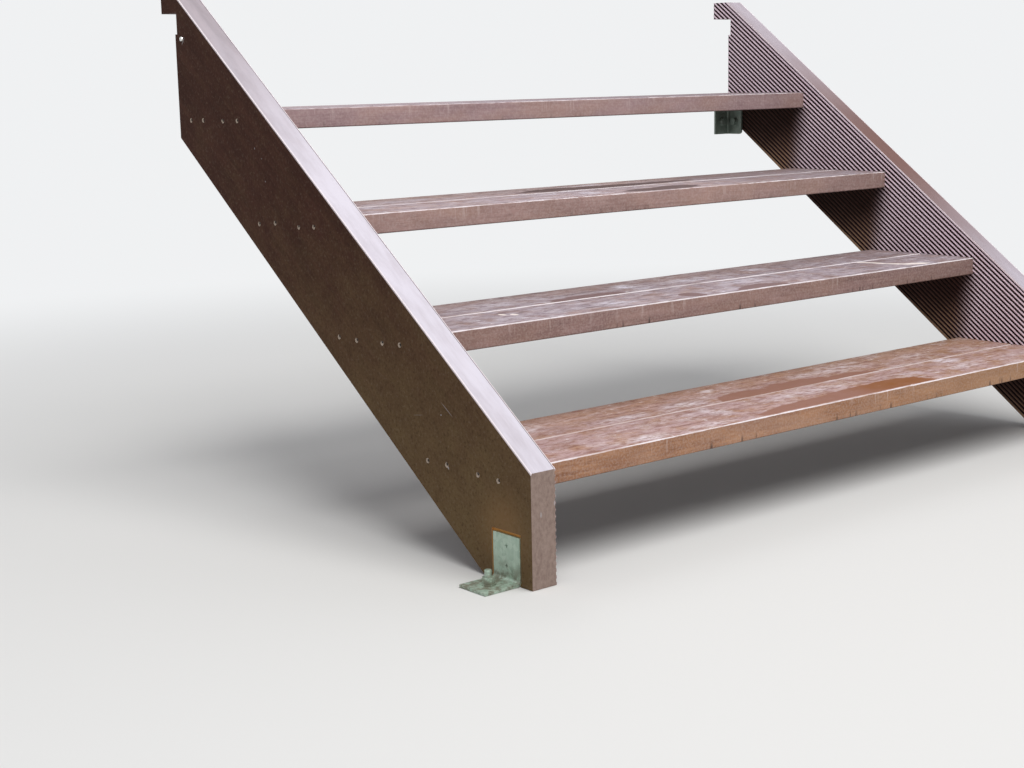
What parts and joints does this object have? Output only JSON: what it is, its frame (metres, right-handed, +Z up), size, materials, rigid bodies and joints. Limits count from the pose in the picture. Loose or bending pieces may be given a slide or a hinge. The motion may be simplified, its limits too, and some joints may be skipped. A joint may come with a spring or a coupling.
{
  "type": "open-riser wooden deck stairs",
  "caption": "Open-riser hardwood deck stairs: two-board treads housed between deep stringers reeded on their inner faces, with galvanised brackets at the feet and head.",
  "frame": {"origin": "on the plumb cut of the left stringer, half way through its thickness and level with the top of the highest tread", "axes": "+Y into the deck, square to its face; +X across the flight to the right stringer; +Z up"},
  "size_m": [1.74, 1.083, 0.955],
  "materials": {
    "stringer_timber": "oiled red-brown hardwood, weathered",
    "tread_timber": "oiled red-brown hardwood, walked grey on top",
    "galvanised_steel": "hot-dip galvanised, dull"
  },
  "bodies": {
    "root": {"left_stringer": "stringer_timber", "right_stringer": "stringer_timber", "tread_1_front_board": "tread_timber", "tread_1_back_board": "tread_timber", "tread_2_front_board": "tread_timber", "tread_2_back_board": "tread_timber", "tread_3_front_board": "tread_timber", "tread_3_back_board": "tread_timber", "tread_4_front_board": "tread_timber", "tread_4_back_board": "tread_timber", "left_foot_bracket": "galvanised_steel", "right_foot_bracket": "galvanised_steel", "left_top_bracket": "galvanised_steel", "right_top_bracket": "galvanised_steel"}
  },
  "joints": []
}
